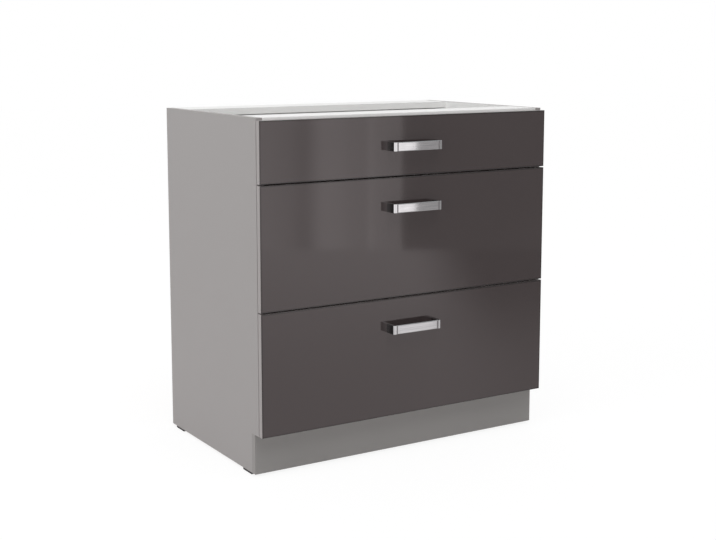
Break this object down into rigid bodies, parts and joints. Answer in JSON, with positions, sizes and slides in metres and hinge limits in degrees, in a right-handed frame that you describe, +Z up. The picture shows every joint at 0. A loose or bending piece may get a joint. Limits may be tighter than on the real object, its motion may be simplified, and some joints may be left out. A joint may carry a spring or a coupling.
{
  "type": "kitchen base cabinet with drawers",
  "caption": "Free-standing kitchen base cabinet, open at the top for a worktop, with drawers on roller runners behind gloss fronts with bow handles.",
  "frame": {"origin": "middle of the floor under the cabinet: halfway across, and halfway between the face of the handles and the back board", "axes": "+X to the right along the front, +Y from the front to the wall, +Z up"},
  "size_m": [0.8, 0.5354, 0.82],
  "materials": {
    "grey_board": "chipboard with matt light grey melamine face and edging",
    "white_board": "chipboard with white melamine face and edging",
    "drawer_board": "chipboard with white melamine face",
    "plinth_board": "chipboard with matt grey melamine face",
    "hardboard": "hardboard, white lacquer inside and raw brown outside",
    "gloss_front": "fibreboard in warm dark grey high-gloss foil, light grey edges",
    "coated_steel": "folded sheet steel with light grey epoxy coat",
    "zinc_steel": "zinc plated",
    "nylon": "moulded nylon",
    "black_plastic": "moulded, matt",
    "polished_metal": "polished nickel-chrome",
    "satin_metal": "fine lengthwise satin brush"
  },
  "bodies": {
    "carcass": {"side_left": "grey_board", "side_right": "grey_board", "bottom_panel": "white_board", "plinth_board": "plinth_board", "back_panel": "hardboard", "top_rail_front": "white_board", "top_rail_rear": "white_board", "glide_front_left": "black_plastic", "glide_front_right": "black_plastic", "glide_rear_left": "black_plastic", "glide_rear_right": "black_plastic", "top_rail_left": "coated_steel", "top_rail_right": "coated_steel", "middle_rail_left": "coated_steel", "middle_rail_right": "coated_steel", "bottom_rail_left": "coated_steel", "bottom_rail_right": "coated_steel"},
    "top_drawer": {"top_front": "gloss_front", "top_drawer_bottom": "drawer_board", "top_drawer_back": "drawer_board", "top_steel_side_left": "coated_steel", "top_steel_side_right": "coated_steel", "top_bracket_left": "zinc_steel", "top_bracket_right": "zinc_steel", "top_handle": "polished_metal", "top_handle_insert": "satin_metal"},
    "top_front_wheel_left": {"top_roller_front_left": "nylon"},
    "top_rear_wheel_left": {"top_roller_rear_left": "nylon"},
    "top_front_wheel_right": {"top_roller_front_right": "nylon"},
    "top_rear_wheel_right": {"top_roller_rear_right": "nylon"},
    "middle_drawer": {"middle_front": "gloss_front", "middle_drawer_bottom": "drawer_board", "middle_drawer_back": "drawer_board", "middle_steel_side_left": "coated_steel", "middle_steel_side_right": "coated_steel", "middle_bracket_left": "zinc_steel", "middle_bracket_right": "zinc_steel", "middle_handle": "polished_metal", "middle_handle_insert": "satin_metal"},
    "middle_front_wheel_left": {"middle_roller_front_left": "nylon"},
    "middle_rear_wheel_left": {"middle_roller_rear_left": "nylon"},
    "middle_front_wheel_right": {"middle_roller_front_right": "nylon"},
    "middle_rear_wheel_right": {"middle_roller_rear_right": "nylon"},
    "bottom_drawer": {"bottom_front": "gloss_front", "bottom_drawer_bottom": "drawer_board", "bottom_drawer_back": "drawer_board", "bottom_steel_side_left": "coated_steel", "bottom_steel_side_right": "coated_steel", "bottom_bracket_left": "zinc_steel", "bottom_bracket_right": "zinc_steel", "bottom_handle": "polished_metal", "bottom_handle_insert": "satin_metal"},
    "bottom_front_wheel_left": {"bottom_roller_front_left": "nylon"},
    "bottom_rear_wheel_left": {"bottom_roller_rear_left": "nylon"},
    "bottom_front_wheel_right": {"bottom_roller_front_right": "nylon"},
    "bottom_rear_wheel_right": {"bottom_roller_rear_right": "nylon"}
  },
  "joints": [
    {"name": "top_drawer_slide", "type": "slide", "parent": "carcass", "child": "top_drawer", "axis": [0, -1, 0], "range_m": [0, 0.345]},
    {"name": "middle_drawer_slide", "type": "slide", "parent": "carcass", "child": "middle_drawer", "axis": [0, -1, 0], "range_m": [0, 0.345]},
    {"name": "bottom_drawer_slide", "type": "slide", "parent": "carcass", "child": "bottom_drawer", "axis": [0, -1, 0], "range_m": [0, 0.345]},
    {"name": "top_front_roller_left_spin", "type": "hinge", "parent": "carcass", "child": "top_front_wheel_left", "pos_m": [-0.37845, -0.2023, 0.7078], "axis": [1, 0, 0], "range_deg": [-10, 1660]},
    {"name": "top_rear_roller_left_spin", "type": "hinge", "parent": "top_drawer", "child": "top_rear_wheel_left", "pos_m": [-0.37435, 0.2137, 0.7068], "axis": [1, 0, 0], "range_deg": [-10, 1660]},
    {"name": "top_front_roller_right_spin", "type": "hinge", "parent": "carcass", "child": "top_front_wheel_right", "pos_m": [0.37845, -0.2023, 0.7078], "axis": [1, 0, 0], "range_deg": [-10, 1660]},
    {"name": "top_rear_roller_right_spin", "type": "hinge", "parent": "top_drawer", "child": "top_rear_wheel_right", "pos_m": [0.37435, 0.2137, 0.7068], "axis": [1, 0, 0], "range_deg": [-10, 1660]},
    {"name": "middle_front_roller_left_spin", "type": "hinge", "parent": "carcass", "child": "middle_front_wheel_left", "pos_m": [-0.37845, -0.2023, 0.4208], "axis": [1, 0, 0], "range_deg": [-10, 1660]},
    {"name": "middle_rear_roller_left_spin", "type": "hinge", "parent": "middle_drawer", "child": "middle_rear_wheel_left", "pos_m": [-0.37435, 0.2137, 0.4198], "axis": [1, 0, 0], "range_deg": [-10, 1660]},
    {"name": "middle_front_roller_right_spin", "type": "hinge", "parent": "carcass", "child": "middle_front_wheel_right", "pos_m": [0.37845, -0.2023, 0.4208], "axis": [1, 0, 0], "range_deg": [-10, 1660]},
    {"name": "middle_rear_roller_right_spin", "type": "hinge", "parent": "middle_drawer", "child": "middle_rear_wheel_right", "pos_m": [0.37435, 0.2137, 0.4198], "axis": [1, 0, 0], "range_deg": [-10, 1660]},
    {"name": "bottom_front_roller_left_spin", "type": "hinge", "parent": "carcass", "child": "bottom_front_wheel_left", "pos_m": [-0.37845, -0.2023, 0.1338], "axis": [1, 0, 0], "range_deg": [-10, 1660]},
    {"name": "bottom_rear_roller_left_spin", "type": "hinge", "parent": "bottom_drawer", "child": "bottom_rear_wheel_left", "pos_m": [-0.37435, 0.2137, 0.1328], "axis": [1, 0, 0], "range_deg": [-10, 1660]},
    {"name": "bottom_front_roller_right_spin", "type": "hinge", "parent": "carcass", "child": "bottom_front_wheel_right", "pos_m": [0.37845, -0.2023, 0.1338], "axis": [1, 0, 0], "range_deg": [-10, 1660]},
    {"name": "bottom_rear_roller_right_spin", "type": "hinge", "parent": "bottom_drawer", "child": "bottom_rear_wheel_right", "pos_m": [0.37435, 0.2137, 0.1328], "axis": [1, 0, 0], "range_deg": [-10, 1660]}
  ],
  "couplings": [
    {"joint": "top_front_roller_left_spin", "follows": "top_drawer_slide", "rad_per_m": 83.333},
    {"joint": "top_rear_roller_left_spin", "follows": "top_drawer_slide", "rad_per_m": 83.333},
    {"joint": "top_front_roller_right_spin", "follows": "top_drawer_slide", "rad_per_m": 83.333},
    {"joint": "top_rear_roller_right_spin", "follows": "top_drawer_slide", "rad_per_m": 83.333},
    {"joint": "middle_front_roller_left_spin", "follows": "middle_drawer_slide", "rad_per_m": 83.333},
    {"joint": "middle_rear_roller_left_spin", "follows": "middle_drawer_slide", "rad_per_m": 83.333},
    {"joint": "middle_front_roller_right_spin", "follows": "middle_drawer_slide", "rad_per_m": 83.333},
    {"joint": "middle_rear_roller_right_spin", "follows": "middle_drawer_slide", "rad_per_m": 83.333},
    {"joint": "bottom_front_roller_left_spin", "follows": "bottom_drawer_slide", "rad_per_m": 83.333},
    {"joint": "bottom_rear_roller_left_spin", "follows": "bottom_drawer_slide", "rad_per_m": 83.333},
    {"joint": "bottom_front_roller_right_spin", "follows": "bottom_drawer_slide", "rad_per_m": 83.333},
    {"joint": "bottom_rear_roller_right_spin", "follows": "bottom_drawer_slide", "rad_per_m": 83.333}
  ]
}
